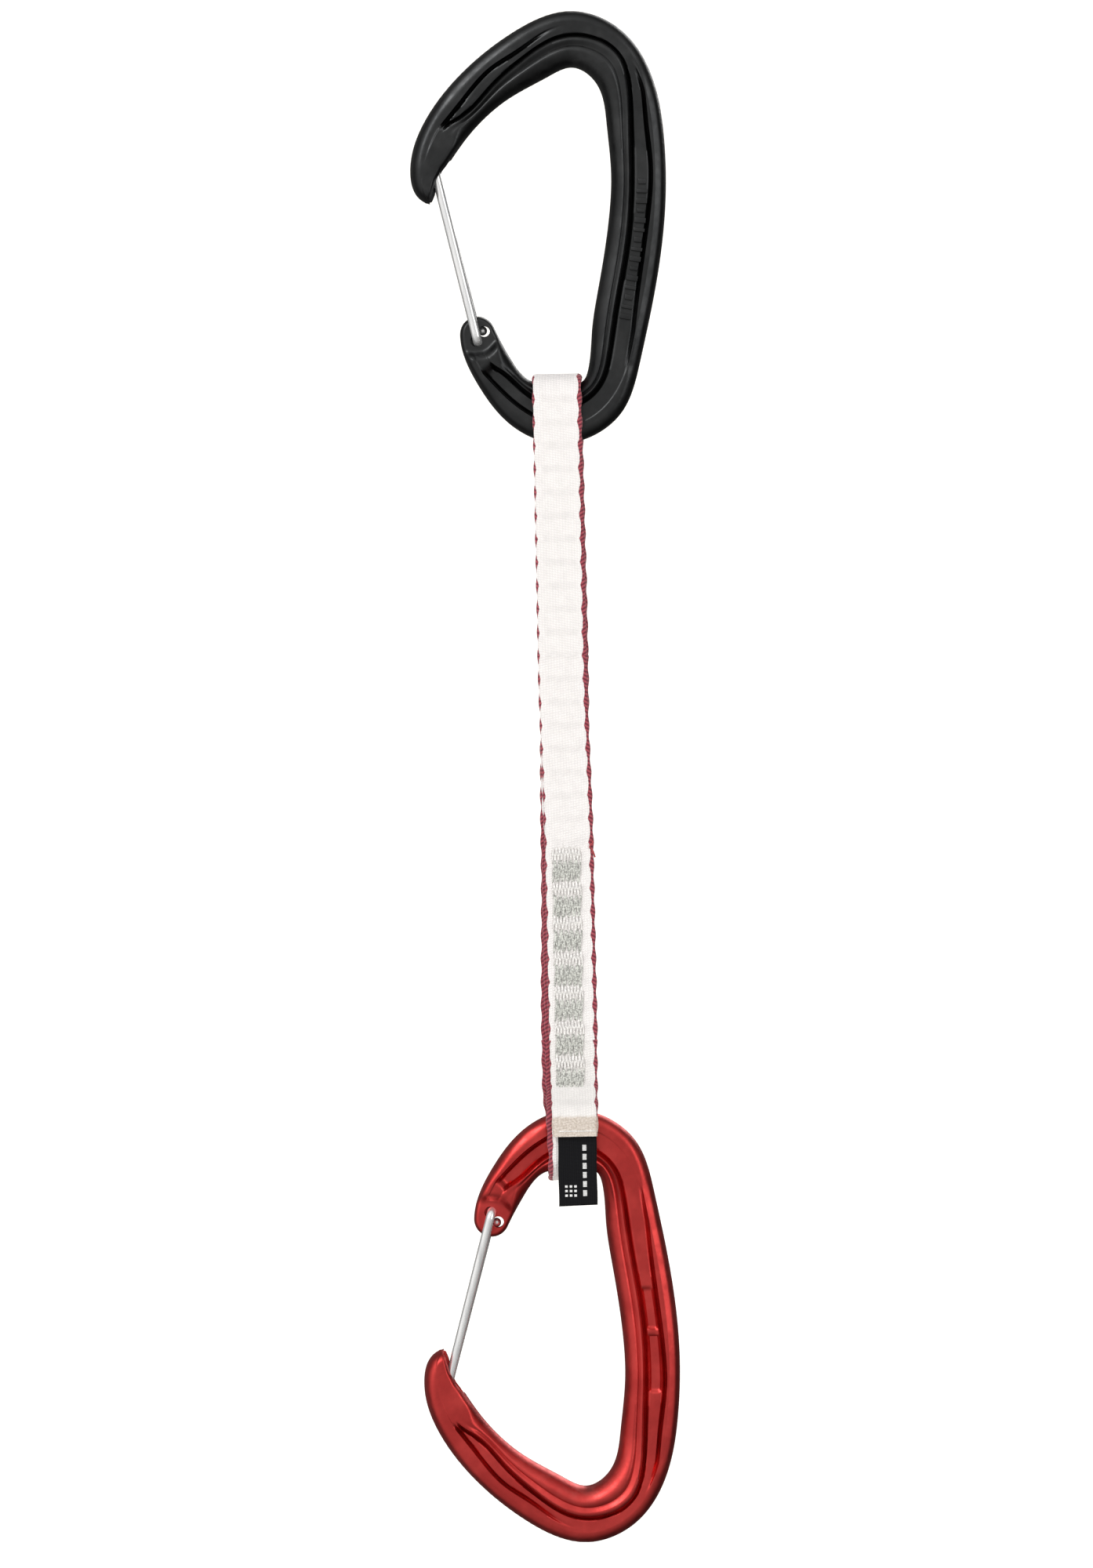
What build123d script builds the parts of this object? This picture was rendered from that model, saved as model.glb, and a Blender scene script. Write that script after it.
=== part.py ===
from build123d import *
import math
import os

# Climbing quickdraw, hanging as it is used: two wiregate carabiners joined by a sewn tape sling.
# Frame: +Z up, +X towards the carabiners' spines, +Y away from the side that carries the label.
# Origin: the deepest point of the upper carabiner's hanger bay, on the mid-plane. Millimetres.

# Carabiner body, in its own frame: the same directions, origin at the deepest point of its wide bay
frame_half = 4.3            # half thickness of the forged frame
edge_round = 3.0            # rounding of its long edges
web_half = 1.8              # half thickness of the web left between the grooves
bay_flare_half = 5.2        # half thickness of the flared bearing surface in the wide bay
bay_flare_round = 0.8

# Hinge tab and the two wire holes
tab_x, tab_z = -22.0, -58.6
tab_radius = 3.9
tab_half = 2.35
tab_recess_radius = 5.2     # thinned area round the holes
wire_end_front = (-22.0, -60.4)
wire_end_back = (-20.9, -57.8)

# Wire gate
wire_radius = 1.0
wire_leg_half = 3.85        # distance of a leg from the mid-plane beside the tab
wire_nose_half = 2.1        # the same distance at the nose
wire_nose_x, wire_nose_z = -31.0, -21.6
wire_bend = 1.7             # bend radius at the turned-in ends
gate_travel = 36.0          # degrees, from shut to fully open
hole_play = 0.06            # radial running clearance of the wire ends

# Nose hood
hood_slot_half = 3.3        # half width of the slot that takes the wire loop
hook_half = 0.95            # half thickness of the hook between the wires

# Sling
tape_width = 11.0
tape_thickness = 1.5
tape_x = -4.4               # the sling hangs plumb along this line
fold_gap = 0.3              # air between tape and the rod's faces
crown_gap = 0.6             # air between tape and bearing surface, at the middle of the bay
bay_floor_z = -69.7         # bearing surface of the small bay, in the carabiner's frame
small_end_z = -83.1         # outermost point of the small end, in the carabiner's frame
ply_pitch = 1.6             # distance between the plies' centres where they are sewn
ply_shift = 0.8             # the front and back plies sit this far off each other's line
body_gap = 0.3              # gap between lengths of tape on different bodies

# Heights along the sling
upper_swing_z = -90.5       # where the loop bends under the upper carabiner
twist_z = -172.0            # where the open loop ends and the sewn length begins
sewn_end_z = -226.0
tail_end_z = -236.2

# Bar tacks
tack_count = 7
tack_first_z = -177.7
tack_pitch = 7.65
tack_height = 4.3
tack_width = 6.7
tack_proud = 0.35

# Label
label_width = 8.5
label_height = 15.0
label_thickness = 0.5
label_gap = 0.15            # below the end of the tape
label_x = -3.1
stitch_size = 0.3

# Lower carabiner: the same frame turned over, at the end of the sling
lower_bay_x, lower_bay_z = -2.35, -313.6
lower_rest_tilt = 2.0       # degrees about Y, as it settles in its loop


def flat_curve(points, directions=()):
    """A smooth curve through (x, z) points on the mid-plane, with its directions at both ends."""
    route = [Vector(x, 0, z) for x, z in points]
    if not directions:
        return Spline(route)
    ends = [Vector(x, 0, z) for x, z in directions]
    return Spline(route, tangents=ends, tangent_scalars=(1, 1))


def plate(edges, half):
    """A plate of the given half thickness about the mid-plane."""
    return extrude(make_face(edges), half, both=True)


def inner_edge():
    """The bearing side of the frame, from the hinge tab round both bays to the nose."""
    small_bay = [(-15.2, -63.4), (-10.4, -69.1), (-4.4, bay_floor_z), (1.2, -69.2), (2.4, -66.3)]
    spine = [(3.3, -58.0), (4.9, -48.6), (7.5, -33.0), (8.1, -24.0), (7.3, -12.5)]
    wide_bay = [(4.9, -3.2), (0.0, 0.0), (-5.2, -1.8), (-14.6, -6.9), (-23.4, -15.3), (-28.4, -22.6)]
    tab_side = (tab_x + 0.917 * tab_radius, tab_z + 0.4 * tab_radius)
    return flat_curve([tab_side] + small_bay + spine + wide_bay, [(0.4, -0.917), (-0.6, -0.8)])


def outer_edge():
    """The outside of the frame, from the foot of the nose over the wide end to the hinge tab."""
    nose = [(-31.1, -29.7), (-34.4, -28.4), (-36.3, -22.6)]
    wide_end = [(-32.6, -10.8), (-23.7, 0.0), (-13.6, 7.7), (0.2, 12.5), (11.5, 7.6), (17.4, -1.8)]
    spine = [(20.0, -16.0), (20.1, -29.5), (18.0, -46.5), (13.8, -65.5)]
    small_end = [(9.6, -76.4), (1.4, -82.2), (-4.7, small_end_z), (-14.5, -79.2), (-22.0, -70.0)]
    tab_side = (tab_x - tab_radius, tab_z)
    return flat_curve(nose + wide_end + spine + small_end + [tab_side], [(-1, 0.1), (0, 1)])


def frame_outline():
    """Closed outline of the frame: outside, tab, inside and the hood's slanting lower edge."""
    outside = outer_edge()
    inside = inner_edge()
    tab_top = Vector(tab_x, 0, tab_z + tab_radius)
    tab = ThreePointArc(outside @ 1, tab_top, inside @ 0)
    hood_corner = Vector(-29.2, 0, -24.0)
    hood = Polyline([inside @ 1, hood_corner, outside @ 0])
    return outside.edges() + tab.edges() + inside.edges() + hood.edges()


def rounded_frame():
    """The frame's plate with its long front and back edges rounded."""
    blank = plate(frame_outline(), frame_half)
    rims = [e for e in blank.edges() if abs(abs(e.center().Y) - frame_half) < 0.01 and e.length > 8]
    return fillet(rims, edge_round)


def groove(outer_points, inner_points):
    """Cutters for the pair of grooves, front and back, between two curves."""
    first = flat_curve(outer_points)
    second = flat_curve(inner_points)
    ends = [Line(first @ 1, second @ 0), Line(second @ 1, first @ 0)]
    outline = first.edges() + ends[0].edges() + second.edges() + ends[1].edges()
    return plate(outline, 2 * frame_half) - plate(outline, web_half)


def spine_groove():
    return groove([(14.9, -2.0), (17.2, -21.0), (15.1, -43.0), (11.6, -64.5)],
                  [(7.4, -64.5), (10.8, -42.0), (12.4, -22.0), (12.0, -5.0)])


def arm_groove():
    return groove([(-29.8, -12.4), (-20.1, -1.4), (-4.6, 9.2)],
                  [(-4.2, 6.4), (-17.0, -2.4), (-27.6, -13.2)])


def hinge_arm_pocket():
    return groove([(-20.6, -67.2), (-14.8, -74.0), (-9.6, -77.6)],
                  [(-9.0, -72.6), (-13.6, -68.0), (-17.6, -65.4)])


def bay_flare():
    """The bearing surface in the wide bay, broader than the frame behind it."""
    near = flat_curve([(-19.0, -9.9), (-9.0, -3.5), (0.0, 0.4), (4.8, -2.6), (7.6, -12.0), (8.4, -20.0)])
    far = flat_curve([(10.4, -20.0), (9.9, -10.0), (7.5, 0.5), (1.0, 5.2), (-8.0, 3.0), (-20.8, -7.4)])
    ends = [Line(near @ 1, far @ 0), Line(far @ 1, near @ 0)]
    lip = plate(near.edges() + ends[0].edges() + far.edges() + ends[1].edges(), bay_flare_half)
    rims = [e for e in lip.edges() if abs(e.center().Y) > bay_flare_half - 0.01 and e.length > 10]
    return fillet(rims, bay_flare_round)


def nose_slot():
    """Room between the two sides of the hood for the wire loop and its way out."""
    corners = [(-33.3, -19.6), (-31.4, -18.4), (-24.0, -18.4), (-24.0, -31.0), (-31.9, -31.0)]
    outline = Polyline([Vector(x, 0, z) for x, z in corners], close=True)
    return plate(outline.edges(), hood_slot_half)


def nose_hook():
    """The thin hook between the wires: it catches the wire loop when the carabiner is loaded."""
    corners = [(-35.0, -24.0), (-29.3, -24.0), (-27.9, -23.5), (-28.2, -25.6), (-29.6, -28.4), (-31.2, -29.5),
               (-33.0, -29.5), (-34.8, -27.4)]
    outline = Polyline([Vector(x, 0, z) for x, z in corners], close=True)
    return plate(outline.edges(), hook_half)


def hinge_centre():
    """The gate turns about the line midway between its two turned-in ends."""
    return ((wire_end_front[0] + wire_end_back[0]) / 2, (wire_end_front[1] + wire_end_back[1]) / 2)


def turned(point, degrees):
    """A point on the mid-plane turned about the hinge line, in the opening direction."""
    cx, cz = hinge_centre()
    a = math.radians(degrees)
    dx, dz = point[0] - cx, point[1] - cz
    return (cx + dx * math.cos(a) + dz * math.sin(a), cz - dx * math.sin(a) + dz * math.cos(a))


def wire_hole(point):
    """A cross hole, wide enough for the turned-in end to swing over the gate's travel."""
    cx, cz = hinge_centre()
    swing = 2 * math.hypot(point[0] - cx, point[1] - cz) * math.sin(math.radians(gate_travel / 4))
    x, z = turned(point, gate_travel / 2)
    radius = wire_radius + swing + hole_play
    return Pos(x, 0, z) * Rot(90, 0, 0) * Cylinder(radius, 4 * frame_half)


def tab_recess():
    """Takes both faces of the hinge tab down to its thickness."""
    disc = Pos(tab_x, 0, tab_z) * Rot(90, 0, 0) * Cylinder(tab_recess_radius, 4 * frame_half)
    core = Pos(tab_x, 0, tab_z) * Box(4 * tab_recess_radius, 2 * tab_half, 4 * tab_recess_radius)
    return disc - core


def carabiner_body():
    body = rounded_frame() + bay_flare()
    body = body - spine_groove() - arm_groove() - hinge_arm_pocket()
    body = body - tab_recess() - nose_slot() + nose_hook()
    return body - wire_hole(wire_end_front) - wire_hole(wire_end_back)


def wire_leg(end, side):
    """Half of the gate: from the middle of the nose loop down one side and into the tab."""
    loop_top = Vector(wire_nose_x, 0, wire_nose_z)
    loop_side = Vector(wire_nose_x + 0.5, side * wire_nose_half, wire_nose_z - 2.2)
    hip = Vector(end[0], side * wire_leg_half, end[1])
    tip = Vector(end[0], side * 0.4, end[1])
    shoulder = Vector(wire_nose_x, side * wire_nose_half, wire_nose_z)
    path = FilletPolyline([loop_top, shoulder, loop_side, hip, tip], radius=(1.2, 0.5, wire_bend))
    start = Plane(origin=path @ 0, z_dir=path % 0)
    return sweep(start * Circle(wire_radius), path=path)


def wire_gate():
    return wire_leg(wire_end_front, -1) + wire_leg(wire_end_back, 1)


def turn_over(shape):
    """Place a carabiner part at the lower end: mirrored top to bottom, moved and tilted."""
    flipped = mirror(shape, about=Plane.XY)
    tilted = Rot(0, lower_rest_tilt, 0) * flipped
    return Pos(lower_bay_x, 0, lower_bay_z) * tilted


def tape_prism(outline, centre_x=tape_x, width=tape_width):
    """A length of tape from its outline, seen edge on as (y, z) points."""
    edges = Polyline([Vector(centre_x, y, z) for y, z in outline], close=True)
    return extrude(make_face(edges.edges()), width / 2, dir=(1, 0, 0), both=True)


def tape_run(start, end, centre_x=tape_x, width=tape_width, thickness=tape_thickness):
    """A straight ply between two (y, z) points, with level ends."""
    half = thickness / 2
    corners = [(start[0] - half, start[1]), (start[0] + half, start[1]), (end[0] + half, end[1]),
               (end[0] - half, end[1])]
    return tape_prism(corners, centre_x, width)


def fold_section(half, crown_z, radius, foot_z, sign):
    """The (y, z) area under a fold, rounded at its crown. sign is 1 for a fold over, -1 for under."""
    height = abs(crown_z - foot_z)
    area = Rectangle(2 * half, height)
    area = fillet(area.vertices().sort_by(Axis.Y)[-2:], radius)
    turned_area = area if sign > 0 else mirror(area, about=Plane.XZ)
    return Pos(tape_x, 0, (crown_z + foot_z) / 2) * (Plane.YZ * turned_area)


def tape_fold(crown_z, foot_z, sign):
    """The U of tape round a rod: outside less inside."""
    inside_half = frame_half + fold_gap
    inside_radius = edge_round + fold_gap
    outside = fold_section(inside_half + tape_thickness, crown_z, inside_radius + tape_thickness,
                           foot_z, sign)
    inside = fold_section(inside_half, crown_z - sign * tape_thickness, inside_radius,
                          foot_z - sign * tape_thickness, sign)
    return extrude(outside - inside, tape_width / 2, both=True)


leg_y = frame_half + fold_gap + tape_thickness / 2
lower_rod_top_z = lower_bay_z - small_end_z
lower_floor_z = lower_bay_z - bay_floor_z


def tape_upper_bight():
    crown_z = bay_floor_z + crown_gap + tape_thickness
    return tape_fold(crown_z, upper_swing_z + body_gap, 1)


def upper_leg(side):
    start = (side * leg_y, upper_swing_z - body_gap)
    return tape_run(start, (side * ply_pitch, twist_z + body_gap))


def sewn_ply(order):
    """One of the three sewn plies: -1 in front, 0 in the middle, 1 behind."""
    y = order * ply_pitch
    return tape_run((y, twist_z), (y, sewn_end_z), tape_x - order * ply_shift)


def tape_lower_bight():
    """The lower loop: two slanting legs that meet the sewn plies, and the U under the rod."""
    crown_z = lower_floor_z - crown_gap - tape_thickness
    shoulder_z = lower_rod_top_z + 0.2
    loop = tape_fold(crown_z, shoulder_z, -1)
    top_z = sewn_end_z - body_gap
    for side in (-1, 1):
        loop = loop + tape_run((side * 0.85, top_z), (side * leg_y, shoulder_z))
    return loop


def tape_tail_end():
    """The sealed end of the front ply, lying over the front of the lower loop."""
    shoulder_z = lower_rod_top_z + 0.2
    near_y = -leg_y - ply_pitch
    slope = tape_run((-2.5, sewn_end_z - body_gap), (near_y, shoulder_z), tape_x + ply_shift)
    return slope + tape_run((near_y, shoulder_z), (near_y, tail_end_z), tape_x + ply_shift)


def bar_tack(index):
    """A block of zigzag thread: what stands proud of the front ply and of the back ply."""
    z = tack_first_z - index * tack_pitch
    face_y = ply_pitch + tape_thickness / 2
    y = face_y + tack_proud / 2
    pad = Box(tack_width, tack_proud, tack_height)
    return Pos(tape_x, -y, z) * pad + Pos(tape_x, y, z) * pad


def woven_label():
    """The flag label: it hangs in front of the fold from under the tape's sealed end."""
    y = -leg_y - tape_thickness / 2 - label_thickness / 2 - 0.05
    centre_z = tail_end_z - label_gap - label_height / 2
    return Pos(label_x, y, centre_z) * Box(label_width, label_thickness, label_height)


def label_stitching():
    """One row of stitches through the sealed end, which holds the label under it."""
    y = -leg_y - ply_pitch - tape_thickness / 2 - stitch_size / 2
    return Pos(label_x, y, tail_end_z + 1.2) * Box(label_width, stitch_size, 2 * stitch_size)


nodes = {
    "upper_carabiner_body": carabiner_body(),
    "upper_wire_gate": wire_gate(),
    "tape_upper_bight": tape_upper_bight(),
    "tape_front_leg": upper_leg(-1),
    "tape_back_leg": upper_leg(1),
    "tape_front_ply": sewn_ply(-1),
    "tape_middle_ply": sewn_ply(0),
    "tape_back_ply": sewn_ply(1),
    "tape_lower_bight": tape_lower_bight(),
    "tape_tail_end": tape_tail_end(),
    "woven_label": woven_label(),
    "label_stitching": label_stitching(),
}
nodes["lower_carabiner_body"] = turn_over(nodes["upper_carabiner_body"])
nodes["lower_wire_gate"] = turn_over(nodes["upper_wire_gate"])
for index in range(tack_count):
    nodes[f"bar_tack_{index + 1}"] = bar_tack(index)

os.makedirs("parts", exist_ok=True)
for name, shape in nodes.items():
    export_step(shape, f"parts/{name}.step")
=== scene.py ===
import math
import random

import bmesh
import bpy
import numpy as np
from mathutils import Matrix, Vector


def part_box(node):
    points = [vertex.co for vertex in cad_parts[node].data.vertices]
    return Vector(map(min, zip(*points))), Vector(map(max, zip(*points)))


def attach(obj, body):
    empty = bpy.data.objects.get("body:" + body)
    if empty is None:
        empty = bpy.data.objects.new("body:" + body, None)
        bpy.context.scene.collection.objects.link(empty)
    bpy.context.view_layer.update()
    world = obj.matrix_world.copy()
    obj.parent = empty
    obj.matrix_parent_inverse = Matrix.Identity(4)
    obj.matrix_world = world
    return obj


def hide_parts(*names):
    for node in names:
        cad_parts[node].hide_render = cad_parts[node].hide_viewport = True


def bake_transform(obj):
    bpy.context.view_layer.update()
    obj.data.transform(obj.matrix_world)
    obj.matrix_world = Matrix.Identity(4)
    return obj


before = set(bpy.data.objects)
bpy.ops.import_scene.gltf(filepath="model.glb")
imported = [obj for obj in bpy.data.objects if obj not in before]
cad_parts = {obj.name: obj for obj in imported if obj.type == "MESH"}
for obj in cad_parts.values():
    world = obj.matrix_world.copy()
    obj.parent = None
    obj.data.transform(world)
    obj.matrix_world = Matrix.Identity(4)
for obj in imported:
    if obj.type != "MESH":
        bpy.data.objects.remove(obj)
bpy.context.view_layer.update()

# A climbing quickdraw: two forged wiregate carabiners and a sewn tape sling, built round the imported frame.
# Lengths are millimetres, and MM turns them into the frame's metres. Both carabiners are drawn in the upper
# one's place, +Z up and +X to the spine; the lower one is then turned over and moved.
MM = 0.001
dice = random.Random(11)

# Where the frame puts things
bight_low, bight_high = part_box("tape_upper_bight")
loop_low, loop_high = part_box("tape_lower_bight")
label_low, label_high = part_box("woven_label")

LOWER_ORIGIN = (-2.35, -313.6)
LOWER_TILT = math.radians(2.0)

# Hinge tab, and the arm that it stands on
TAB = (-22.0, -58.6)
TAB_RADIUS = 3.9
TAB_HALF = 2.35             # half its thickness
TAB_REACH = 8.0             # how far from its middle the section is thinned
ARM = (0.405, -0.914)       # direction down the arm

# Wire gate: where its two ends turn into the tab
WIRE_RADIUS = 1.0
FRONT_END = (-22.0, -60.4)
BACK_END = (-20.9, -57.8)
HOLE_RADIUS = 1.25
GATE_TRAVEL = 36            # degrees

# Raised bars in the upper spine, and the recess with a bar in the lower spine, by height
BARS = 15
BARS_TOP, BARS_FOOT = -25.4, -55.6
PANEL_TOP, PANEL_FOOT = -21.0, -44.5
PANEL_BAR = -34.5
PANEL_DEPTH = 0.6

# Tape
TAPE_WIDTH = 10.8
TAPE_THICK = 1.4
TAPE_CLEARANCE = 0.05       # between the tape and the edge of the box that the frame gives it
SCALLOP = 5.15              # length of one woven scallop along the tape's edges
SCALLOP_WAVE = 0.13         # how far the edges go in and out with the scallops

# Stations round the frame, outside | inside, from the foot of the nose to the top of the hinge tab
ANCHORS = [
    ((-31.7, -29.7), (-31.7, -29.7)),
    ((-36.2, -22.0), (-28.4, -21.7)),
    ((-28.0, -4.6), (-20.4, -11.7)),
    ((0.2, 12.5), (0.0, 0.0)),
    ((17.8, -3.2), (6.4, -8.0)),
    ((20.3, -24.0), (8.1, -24.0)),
    ((13.8, -65.5), (2.7, -63.5)),
    ((6.0, -80.0), (0.3, -69.4)),
    ((-5.0, -83.1), (-5.0, -69.7)),
    ((-16.5, -77.4), (-11.6, -67.8)),
    ((-24.6, -65.6), (-17.2, -60.0)),
    ((-22.0, -54.7), (-22.0, -54.7)),
]

# The section at each station, as (station, value) pairs with eased values in between. Levels are heights
# above the mid-plane, of the outside flange, the web and the inside flange.
OUTER_LEVEL = [
    (0, 4.4), (1, 4.6), (1.6, 4.3), (2.5, 4.3), (2.9, 3.7), (3.72, 3.7), (3.98, 4.2), (5.85, 4.2),
    (6.1, 3.6), (8.2, 3.6), (8.5, 4.2), (11, 4.2),
]
WEB_LEVEL = [
    (0, 4.6), (1.53, 4.6), (1.75, 3.7), (2.5, 3.7), (2.95, 3.7), (3.7, 3.7), (4.3, 3.45), (5.3, 3.45),
    (6.4, 3.5), (8.15, 3.5), (8.45, 2.4), (9.6, 2.4), (9.8, 4.0), (11, 4.0),
]
INNER_LEVEL = [
    (0, 4.6), (1.5, 4.6), (2, 4.6), (2.6, 5.1), (3.6, 5.2), (4.3, 4.4), (6, 4.3), (7, 4.35), (8.4, 4.35),
    (9.4, 4.2), (11, 4.2),
]
# Depth of the crease along the web's outer edge and along its inner edge
OUTER_CREASE = [
    (0, 0), (1.53, 0), (1.7, 1.2), (2.35, 1.2), (2.95, 0), (3.75, 0), (4.3, 1.2), (5.3, 1.2), (6.3, 0),
    (8.2, 0), (8.5, 0.8), (9.6, 0.7), (9.8, 0), (11, 0),
]
INNER_CREASE = [
    (0, 0), (1.53, 0), (1.7, 1.2), (3, 1.1), (8.0, 1.0), (8.5, 0.8), (9.6, 0.7), (9.8, 0), (11, 0),
]
CREASE_WIDTH = 0.65
# Lines on the front face along which the web meets the outer flange and the inner flange, (x, z)
OUTER_WALL = [
    (-29.8, -12.9), (-24.6, -6.6), (-18.5, 0.0), (-12.4, 3.9), (-4.4, 8.8), (4.5, 9.4), (11.2, 5.6),
    (14.8, -0.5), (16.5, -12.5), (17.4, -22.2), (16.7, -32.3), (15.1, -43.0), (13.5, -53.6), (11.4, -65.5),
    (6.6, -74.6), (0.0, -79.0), (-5.0, -79.4), (-9.6, -77.6), (-14.8, -74.0), (-21.3, -67.3),
]
INNER_WALL = [
    (-28.1, -13.2), (-23.4, -10.3), (-17.3, -4.0), (-11.2, 1.2), (-7.1, 4.1), (-1.7, 6.2), (3.1, 6.1),
    (7.3, 4.5), (10.2, 1.7), (11.8, -3.1), (12.3, -14.0), (12.3, -22.3), (12.0, -31.0), (10.6, -42.1),
    (8.5, -52.9), (6.6, -64.0), (4.9, -69.4), (0.9, -73.4), (-4.0, -74.6), (-9.4, -72.8), (-12.6, -70.2),
    (-15.9, -67.2), (-19.2, -65.1),
]
# Height of the two crests on the inside flange, and how strong the line along the outside rim is, 0 to 1
CREST = [(0, 0), (1.5, 0), (1.9, 0.9), (2.6, 1.3), (8.2, 1.3), (9.2, 0.6), (9.6, 0.1), (11, 0.0)]
RIM_LINE = [
    (0, 0), (1.6, 0), (2.2, 0.6), (2.9, 0), (3.9, 0), (4.3, 1), (5.9, 1), (6.3, 0), (8.4, 0), (8.8, 0.7),
    (9.5, 0), (11, 0),
]
# How far in from the inside edge and from the outside edge the section is rounded
INNER_ROUND = [(0, 1.2), (1.35, 1.3), (1.9, 4.0), (9.2, 4.2), (10, 1.4), (11, 1.1)]
OUTER_ROUND = [(0, 2.4), (9.4, 2.3), (10, 1.4), (11, 1.1)]


def ease(t):
    t = np.clip(t, 0.0, 1.0)
    return t * t * (3 - 2 * t)


def eased_table(table, where):
    """Values of a (station, value) table, eased between its rows."""
    keys = np.array([k for k, _ in table], float)
    values = np.array([v for _, v in table], float)
    index = np.clip(np.searchsorted(keys, where, side="right") - 1, 0, len(keys) - 2)
    part = (where - keys[index]) / (keys[index + 1] - keys[index])
    return values[index] + (values[index + 1] - values[index]) * ease(part)


def evenly(line, count):
    """The polyline at count evenly spaced points."""
    step = np.linalg.norm(np.diff(line, axis=0), axis=1)
    at = np.concatenate([[0.0], np.cumsum(step)])
    want = np.linspace(0.0, at[-1], count)
    return np.stack([np.interp(want, at, line[:, k]) for k in range(line.shape[1])], 1)


def smooth_curve(points, first, last):
    """A cubic curve through (x, z) points that starts along first and ends along last."""
    p = np.array(points, float)
    t = np.concatenate([[0.0], np.cumsum(np.linalg.norm(np.diff(p, axis=0), axis=1))])
    h = np.diff(t)
    n = len(p)
    rows = np.zeros((n, n))
    sides = np.zeros((n, 2))
    rows[0, 0] = rows[-1, -1] = 1.0
    sides[0], sides[-1] = first, last
    for i in range(1, n - 1):
        rows[i, i - 1:i + 2] = h[i], 2 * (h[i - 1] + h[i]), h[i - 1]
        sides[i] = 3 * (h[i] / h[i - 1] * (p[i] - p[i - 1]) + h[i - 1] / h[i] * (p[i + 1] - p[i]))
    slope = np.linalg.solve(rows, sides)
    where = np.linspace(0.0, t[-1], 1600)
    k = np.clip(np.searchsorted(t, where, side="right") - 1, 0, n - 2)
    s = ((where - t[k]) / h[k])[:, None]
    hk = h[k][:, None]
    return ((2 * s ** 3 - 3 * s ** 2 + 1) * p[k] + (s ** 3 - 2 * s ** 2 + s) * hk * slope[k]
            + (3 * s ** 2 - 2 * s ** 3) * p[k + 1] + (s ** 3 - s ** 2) * hk * slope[k + 1])


def arc_about(centre, radius, start, end, count=60):
    """Points of an arc between two angles in degrees."""
    angles = np.radians(np.linspace(start, end, count))
    return np.stack([centre[0] + radius * np.cos(angles), centre[1] + radius * np.sin(angles)], 1)


def outside_line():
    """Foot of the nose, over the wide end, down the spine, round the small end, up to the tab's top."""
    nose = [(-31.7, -29.7), (-34.6, -28.2), (-36.3, -22.6)]
    wide_end = [(-32.6, -10.8), (-23.7, 0.0), (-13.6, 7.7), (0.2, 12.5), (11.5, 7.6), (17.4, -1.8)]
    spine = [(20.0, -16.0), (20.1, -29.5), (18.0, -46.5), (13.8, -65.5)]
    small_end = [(9.6, -76.4), (1.4, -82.2), (-4.7, -83.1), (-14.5, -79.2), (-22.0, -70.0)]
    tab_side = (TAB[0] - TAB_RADIUS, TAB[1])
    line = smooth_curve(nose + wide_end + spine + small_end + [tab_side], (-1, 0.1), (0, 1))
    return np.concatenate([line, arc_about(TAB, TAB_RADIUS, 180, 90)[1:]])


def inside_line():
    """Foot of the nose, the hood's slanting edge, round both bays, up to the tab's top."""
    small_bay = [(-15.2, -63.4), (-10.4, -69.1), (-4.4, -69.7), (1.2, -69.2), (2.4, -66.3)]
    spine = [(3.3, -58.0), (4.9, -48.6), (7.5, -33.0), (8.1, -24.0), (7.3, -12.5)]
    wide_bay = [(4.9, -3.2), (0.0, 0.0), (-5.2, -1.8), (-14.6, -6.9), (-23.4, -14.9), (-28.0, -21.2)]
    tab_side = (TAB[0] + 0.917 * TAB_RADIUS, TAB[1] + 0.4 * TAB_RADIUS)
    line = smooth_curve([tab_side] + small_bay + spine + wide_bay, (0.4, -0.917), (-0.55, -0.83))
    hood = [(-31.7, -29.7), (-31.1, -27.6), (-30.3, -24.9), (-28.9, -22.3), (-28.0, -21.2)]
    tab_top = arc_about(TAB, TAB_RADIUS, 23.6, 90)
    return np.concatenate([evenly(np.array(hood), 60)[:-1], line[::-1], tab_top[1:]])


def along(line, points):
    """How far along the polyline each point's nearest vertex is."""
    step = np.linalg.norm(np.diff(line, axis=0), axis=1)
    at = np.concatenate([[0.0], np.cumsum(step)])
    found = [at[np.argmin(np.linalg.norm(line - np.array(p), axis=1))] for p in points]
    found[0], found[-1] = 0.0, at[-1]
    return at, np.array(found)


def softened(values, reach=9):
    """A rising line of values with its steps averaged; the first and last values stay."""
    kernel = np.hanning(2 * reach + 3)[1:-1]
    kernel = kernel / kernel.sum()
    rise = np.diff(values)
    padded = np.concatenate([rise[:1].repeat(reach), rise, rise[-1:].repeat(reach)])
    steps = np.convolve(padded, kernel, mode="valid")
    total = np.concatenate([[0.0], np.cumsum(steps)])
    return values[0] + total * (values[-1] - values[0]) / total[-1]


def distance_to(line, points):
    """Distance of each point from the polyline's vertices."""
    short = evenly(line, 900)
    found = np.empty(len(points))
    for start in range(0, len(points), 4000):
        part = points[start:start + 4000]
        gaps = np.linalg.norm(part[:, None, :] - short[None, :, :], axis=2)
        found[start:start + 4000] = gaps.min(axis=1)
    return found


def rings(count=520):
    """Outside and inside points of each ring, and its station."""
    outside, inside = outside_line(), inside_line()
    at_out, mark_out = along(outside, [a for a, _ in ANCHORS])
    at_in, mark_in = along(inside, [b for _, b in ANCHORS])
    middle = (mark_out + mark_in) / 2
    s = np.linspace(0.0, middle[-1], count)
    go_out = softened(np.interp(s, middle, mark_out))
    go_in = softened(np.interp(s, middle, mark_in))
    station = np.interp(s, middle, np.arange(len(ANCHORS)))
    ring_out = np.stack([np.interp(go_out, at_out, outside[:, k]) for k in (0, 1)], 1)
    ring_in = np.stack([np.interp(go_in, at_in, inside[:, k]) for k in (0, 1)], 1)
    return outside, inside, ring_out, ring_in, station


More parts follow.
